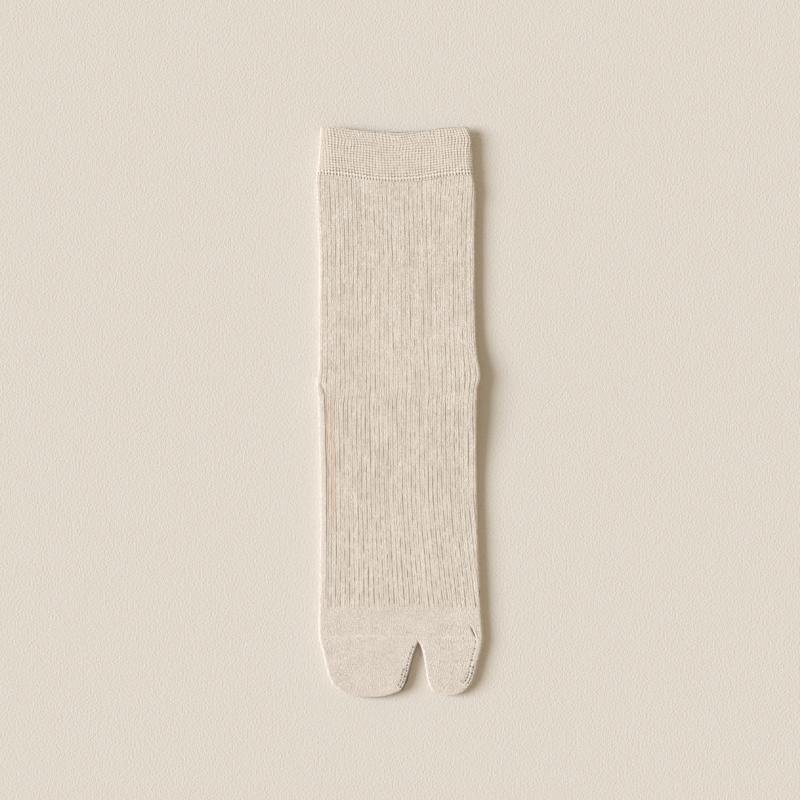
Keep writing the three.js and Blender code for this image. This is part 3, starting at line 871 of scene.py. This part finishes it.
# This colour paints the sole's strip paler and is the painted highlight on knuckles, loops and
# welts.
PALE_YARN_AND_HIGHLIGHT = "#fffaf0"
TAN_YARN = "#f8e4d2"
FIBRE_NOISE = 1450.0  # clumps of fibre, about 0.7 mm
BROAD_NOISE = 110.0  # uneven yarn, about 9 mm
CARD = "#e5ded4"
TOOTH_NOISE = 900.0  # the card's tooth, about 1.1 mm
TOOTH_DEPTH = 0.43


def knit_material(name, light, dark, shade, stitch_depth, fleck_depth, fuzz_depth, rib_depth=0.0):
    """Cotton knit: short fibres give a matt face with soft flecks, and the stitches are rows of
    small V shapes, each leg a little higher or lower than the next. Ribs end at every second wale.
    light and dark are the yarn's two tones, shade is the colour of the painted shade down in a
    hollow, and the depths are those of the bumps in millimetres."""
    material, tree, shader = new_material(name, 0.92, 0.10)
    place = add_node(tree, "ShaderNodeTexCoord")
    fine = add_node(tree, "ShaderNodeTexNoise", [("Vector", place, "Object")],
                    in_2=FIBRE_NOISE, in_3=2.0, in_4=0.6)
    broad = add_node(tree, "ShaderNodeTexNoise", [("Vector", place, "Object")],
                     in_2=BROAD_NOISE, in_3=2.0, in_4=0.5)
    knit = add_node(tree, "ShaderNodeAttribute", attribute_name="knit")
    legs = add_node(tree, "ShaderNodeVectorMath", [(0, knit, "Vector")], operation="MULTIPLY",
                    in_1=(2.0, 0.55, 1.0))
    flecks = add_node(tree, "ShaderNodeTexNoise", [("Vector", legs, 0)],
                      in_2=1.0, in_3=1.0, in_4=0.5)
    fibres = add_node(tree, "ShaderNodeMath", [(0, fine, 0), (2, broad, 0)],
                      operation="MULTIPLY_ADD", in_1=3.0)
    mixed = add_node(tree, "ShaderNodeMath", [(0, flecks, 0), (2, fibres, 0)],
                     operation="MULTIPLY_ADD", in_1=2.4)
    level = add_node(tree, "ShaderNodeMapRange", [("Value", mixed, 0)], in_1=2.5, in_2=3.9)
    yarn = add_node(tree, "ShaderNodeMix", [(0, level, "Result")], data_type="RGBA",
                    in_6=linear(dark), in_7=linear(light))
    tone = add_node(tree, "ShaderNodeAttribute", attribute_name="tone")
    part = add_node(tree, "ShaderNodeSeparateXYZ", [(0, tone, "Vector")])
    # The tone attribute mixes in paler yarn and painted highlight, the tan tint, and painted shade.
    for share, tint in ((1, PALE_YARN_AND_HIGHLIGHT), (2, TAN_YARN), (0, shade)):
        yarn = add_node(tree, "ShaderNodeMix", [(0, part, share), (6, yarn, 2)], data_type="RGBA",
                        in_7=linear(tint))
    tree.links.new(yarn.outputs[2], shader.inputs["Base Color"])

    number = add_node(tree, "ShaderNodeSeparateXYZ", [(0, knit, "Vector")])
    slant = add_node(tree, "ShaderNodeMath", [(0, number, 0)], operation="PINGPONG", in_1=0.5)
    waver = add_node(tree, "ShaderNodeMath", [(0, broad, 0), (2, number, 1)],
                     operation="MULTIPLY_ADD", in_1=2.6)
    course = add_node(tree, "ShaderNodeMath", [(0, slant, 0), (2, waver, 0)],
                      operation="MULTIPLY_ADD", in_1=1.3)
    turn = add_node(tree, "ShaderNodeMath", [(0, course, 0)], operation="MULTIPLY", in_1=2 * np.pi)
    leg = add_node(tree, "ShaderNodeMath", [(0, turn, 0)], operation="SINE")
    wale = add_node(tree, "ShaderNodeMath", [(0, slant, 0)], operation="MULTIPLY", in_1=2 * np.pi)
    crown = add_node(tree, "ShaderNodeMath", [(0, wale, 0)], operation="SINE")
    stitch = add_node(tree, "ShaderNodeMath", [(0, leg, 0), (2, crown, 0)],
                      operation="MULTIPLY_ADD", in_1=0.5)
    relief = add_node(tree, "ShaderNodeMath", [(0, flecks, 0), (2, stitch, 0)],
                      operation="MULTIPLY_ADD", in_1=fleck_depth / stitch_depth)
    if rib_depth:
        rib = add_node(tree, "ShaderNodeMath", [(0, number, 0)], operation="PINGPONG", in_1=1.0)
        wall = add_node(tree, "ShaderNodeMapRange", [("Value", rib, 0)], in_1=0.0, in_2=0.22)
        relief = add_node(tree, "ShaderNodeMath", [(0, wall, "Result"), (2, relief, 0)],
                          operation="MULTIPLY_ADD", in_1=rib_depth / stitch_depth)
    bump = add_node(tree, "ShaderNodeBump", [("Height", relief, 0)])
    bump.inputs["Strength"].default_value = 1.0
    bump.inputs["Distance"].default_value = stitch_depth * MM
    fuzz = add_node(tree, "ShaderNodeBump", [("Height", fine, 0), ("Normal", bump, "Normal")])
    fuzz.inputs["Strength"].default_value = 1.0
    fuzz.inputs["Distance"].default_value = fuzz_depth * MM
    tree.links.new(fuzz.outputs[0], shader.inputs["Normal"])
    return material


def paper_material():
    """Uncoated card: a matt, pale surface with a fine tooth."""
    material, tree, shader = new_material("uncoated_card", 0.9, 0.0)
    shader.inputs["Base Color"].default_value = linear(CARD)
    place = add_node(tree, "ShaderNodeTexCoord")
    tooth = add_node(tree, "ShaderNodeTexNoise", [("Vector", place, "Object")],
                     in_2=TOOTH_NOISE, in_3=2.0, in_4=0.6)
    bump = add_node(tree, "ShaderNodeBump", [("Height", tooth, 0)])
    bump.inputs["Strength"].default_value = 1.0
    bump.inputs["Distance"].default_value = TOOTH_DEPTH * MM
    tree.links.new(bump.outputs[0], shader.inputs["Normal"])
    return material


# Each knit's third colour is its painted shade, mixed in down in grooves, pits, holes and creases.
RIBBED_COTTON = knit_material(
    "ribbed_cotton_knit", "#fff5ea", "#e9dbca", "#a08a72",
    stitch_depth=0.10, fleck_depth=0.30, fuzz_depth=0.60, rib_depth=0.03)
WELT_COTTON = knit_material(
    "welt_cotton_knit", "#f4e8db", "#e2d4c4", "#937d66",
    stitch_depth=0.05, fleck_depth=0.15, fuzz_depth=0.50)
PLAIN_COTTON = knit_material(
    "plain_cotton_knit", "#fcf2e7", "#e1d4c6", "#6f5b47",
    stitch_depth=0.11, fleck_depth=0.52, fuzz_depth=0.50)

# ---- the socks -------------------------------------------------------------------------------


def rows_between(high, low, step):
    """Even rows, with one more just inside each end."""
    even = np.linspace(high, low, int(round((high - low) / step)) + 1)
    inside = (even[:1] - RIM_STEP, even[-1:] + RIM_STEP)
    return np.concatenate([even[:1], inside[0], even[1:-1], inside[1], even[-1:]])


def cuff(name, base, slip, drop, across, step, surface):
    """The double welt: a tube whose dip grows evenly from its edge to its seam."""
    y = rows_between(TOP_EDGE, CUFF_SEAM, step)
    y = np.unique(np.concatenate([y, TOP_EDGE - np.array([0.05, 0.15, 0.3, 0.5])]))[::-1]
    dip = blend(TOP_DIP, SEAM_DIP, (TOP_EDGE - y) / (TOP_EDGE - CUFF_SEAM))
    return tube_piece(
        name, WELT_COTTON, y, CUFF_EDGES, np.full(len(y), base), WELT_WALLS, dip, across,
        even_columns(24), surface, slip, drop, CUFF_ROUND)


def row_dip(y):
    """How far the tube's rows dip in the middle: as the cuff's seam does, fading down the leg."""
    return SEAM_DIP * smoothstep(y, CUFF_SEAM - DIP_FADE, CUFF_SEAM)


def upper_tube():
    """Leg and foot of the upper sock, which rise to the thicker cuffs and over the heel pockets."""
    y = rows_between(CUFF_SEAM, TOE_LINE, 1.1)
    rest = blend(UPPER_BASE, UPPER_CUFF_BASE, smoothstep(y, *CUFF_RAMP))
    return tube_piece(
        "upper_leg_and_foot", RIBBED_COTTON, y, TUBE_EDGES, rest + heel_lift(y), TUBE_WALLS,
        row_dip(y), rib_columns(), even_columns(26), ribbed_surface, rib_edges=RIB_EDGES)


def lower_tube():
    """Leg and foot of the lower sock, whose slip to the right changes softly from zone to zone."""
    y = rows_between(CUFF_SEAM, TOE_LINE, 2.5)
    slip = blend(LOWER_SLIP["toe"], LOWER_SLIP["foot"], smoothstep(y, TOE_LINE, -60.0))
    slip = blend(slip, LOWER_SLIP["leg"], smoothstep(y, 20.0, 60.0))
    slip = blend(slip, LOWER_SLIP["cuff"], smoothstep(y, 112.0, CUFF_SEAM))
    drop = LOWER_DROP * smoothstep(y, 60.0, CUFF_SEAM)
    return tube_piece(
        "lower_leg_and_foot", RIBBED_COTTON, y, TUBE_EDGES, 0.0 * y, HIDDEN_WALLS, row_dip(y),
        even_columns(90), even_columns(60), plain_surface, slip, drop)


def heel_pocket(name, order, slip):
    """The pocket folded flat: two thin layers round a slit, each as high as half the pocket times
    the fold's round, open at the heel line and closed at the tip."""
    mouth = rows_between(POCKET["mouth"], POCKET["painted_lip_shade"], 0.34)
    y = np.concatenate([mouth, rows_between(POCKET["painted_lip_shade"] - 0.3, POCKET["tip"], 1.6)[2:]])
    thick = (heel_lift(y) - 2.0 * GAP) / 2.0
    base = UPPER_BASE + order * (thick + GAP)
    left, right = edges_at(y, POCKET_EDGES)
    left, right, base, thick, y = (v[:, None] for v in (left + slip, right + slip, base, thick, y))
    across = even_columns(40)
    under = across[1:-1]
    x = np.concatenate([blend(right, left, across), blend(left, right, under)], axis=1)
    sign = np.concatenate([np.ones(len(across)), -np.ones(len(under))])[None]
    inward = np.minimum(x - left, right - x)
    shut = smoothstep(y, POCKET["tip"], POCKET["full"])
    z = base + thick / 2.0 + sign * thick / 2.0 * fold_round(inward * 1.6) * shut
    outer = np.stack([x, y + 0.0 * x, z], axis=-1)
    middle = (left + right) / 2.0
    x_in = middle + (x - middle) * (1.0 - 1.4 / (right - left))
    z_in = base + thick / 2.0 + sign * 0.10 * thick * fold_round(inward) * shut
    inner = np.stack([x_in, y + 0.0 * x, z_in], axis=-1)[y[:, 0] > POCKET["inside_tip"]]
    inner[-1, :, 2] = (base + thick / 2.0)[len(inner) - 1]
    rows, columns = x.shape
    ring = np.arange(columns)
    start = rows * columns
    points = np.concatenate([outer.reshape(-1, 3), inner.reshape(-1, 3)])
    triangles = np.concatenate([
        grid_triangles(rows, columns, 0, True),
        grid_triangles(len(inner), columns, start, True)[:, ::-1],
        strip_triangles(start + ring, ring, True),
    ])
    knit = np.stack([points[:, 0] / WALE, points[:, 1] / COURSE, 0.0 * points[:, 0]], 1)
    return make_piece(name, points, triangles, PLAIN_COTTON, knit)


upper_cuff = cuff("upper_welt", UPPER_CUFF_BASE, 0.0, 0.0, even_columns(300), 0.29, welt_surface)
upper_leg = upper_tube()
upper_heel = heel_pocket("upper_heel_pocket", 1, 0.0)
upper_toe = toe_piece("upper_split_toe", PLAIN_COTTON, UPPER_BASE, TOE_WALLS, 0.0,
                      (150, 100), (56, 90), True)

lower_cuff = cuff("lower_welt", 0.0, LOWER_SLIP["cuff"], LOWER_DROP, even_columns(160), 0.6,
                  welt_surface)
lower_leg = lower_tube()
lower_heel = heel_pocket("lower_heel_pocket", 0, LOWER_SLIP["foot"])
lower_toe = toe_piece("lower_split_toe", PLAIN_COTTON, 0.0, HIDDEN_WALLS, LOWER_SLIP["toe"],
                      (110, 80), (24, 70), False)

# Where each piece belongs: piece, node, slot, its cut all round and along in metres, its flat
# area, how it is held and what it rests on.
PIECES = (
    (upper_cuff, "upper_cuff", "cuff_knit", (0.176, 0.029), None, "laid", lower_cuff),
    (upper_leg, "upper_tube", "ribbed_knit", (0.182, 0.251), None, "laid", lower_leg),
    (upper_heel, "upper_heel", "plain_knit", (0.092, 0.082), 0.0058, "folded", lower_heel),
    (upper_toe, "upper_toe", "plain_knit", (0.188, 0.052), 0.0084, "laid", lower_toe),
    (lower_cuff, "lower_cuff", "cuff_knit", (0.176, 0.029), None, "laid", None),
    (lower_leg, "lower_tube", "ribbed_knit", (0.182, 0.247), None, "laid", None),
    (lower_heel, "lower_heel", "plain_knit", (0.092, 0.082), 0.0058, "folded", lower_leg),
    (lower_toe, "lower_toe", "plain_knit", (0.188, 0.052), 0.0084, "laid", None),
)
for piece, node_name, slot_name, cut, area, held, under_it in PIECES:
    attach(piece, "root")
    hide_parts(node_name)

# ---- floor, light and camera -----------------------------------------------------------------


FLOOR_REACH, FLOOR_DROP = 8000.0, 0.1
WINDOW_LIGHT = (0.785, 0.871, 1.0)
WALL_LIGHT = (1.0, 0.848, 0.622, 1.0)


def floor():
    """A wide card, just under the socks."""
    across = np.linspace(-FLOOR_REACH, FLOOR_REACH, 3)
    x, y = np.meshgrid(across, across)
    points = np.stack([x, y, 0.0 * x - FLOOR_DROP], axis=-1).reshape(-1, 3)
    made = make_piece("card_floor", points, grid_triangles(3, 3, 0, False), paper_material())


def light(azimuth, height, strength, softness):
    """Light from a wide window: azimuth and height in degrees, seen from the socks."""
    lamp = bpy.data.lights.new("key", "SUN")
    lamp.energy = strength
    lamp.angle = np.radians(softness)
    lamp.color = WINDOW_LIGHT
    made = bpy.data.objects.new("key", lamp)
    made.rotation_euler = (0.0, np.radians(-(90.0 - height)), np.radians(azimuth))
    bpy.context.collection.objects.link(made)


def sky(strength):
    """Even, warm light from all round, as sent back by cream studio walls."""
    world = bpy.data.worlds.new("studio_walls")
    world.use_nodes = True
    back = world.node_tree.nodes["Background"]
    back.inputs["Color"].default_value = WALL_LIGHT
    back.inputs["Strength"].default_value = strength
    bpy.context.scene.world = world


VIEW_WIDTH = 464.0  # what the square frame takes in, at the height of the cloth's edges
VIEW_HEIGHT = 3.5
VIEW_MIDDLE = (-0.12, 7.25)
LENS, SENSOR = 85.0, 36.0


def camera():
    """Straight down on the middle of the view, so far away that the frame takes in VIEW_WIDTH."""
    made = bpy.data.cameras.new("camera")
    made.lens = LENS
    made.sensor_width = SENSOR
    item = bpy.data.objects.new("camera", made)
    distance = VIEW_WIDTH * LENS / SENSOR + VIEW_HEIGHT
    item.location = (VIEW_MIDDLE[0] * MM, VIEW_MIDDLE[1] * MM, distance * MM)
    bpy.context.collection.objects.link(item)
    bpy.context.scene.camera = item


floor()
light(azimuth=-4.0, height=33.0, strength=3.73, softness=34.0)
sky(strength=0.47)
camera()
bpy.context.scene.view_settings.view_transform = "Standard"

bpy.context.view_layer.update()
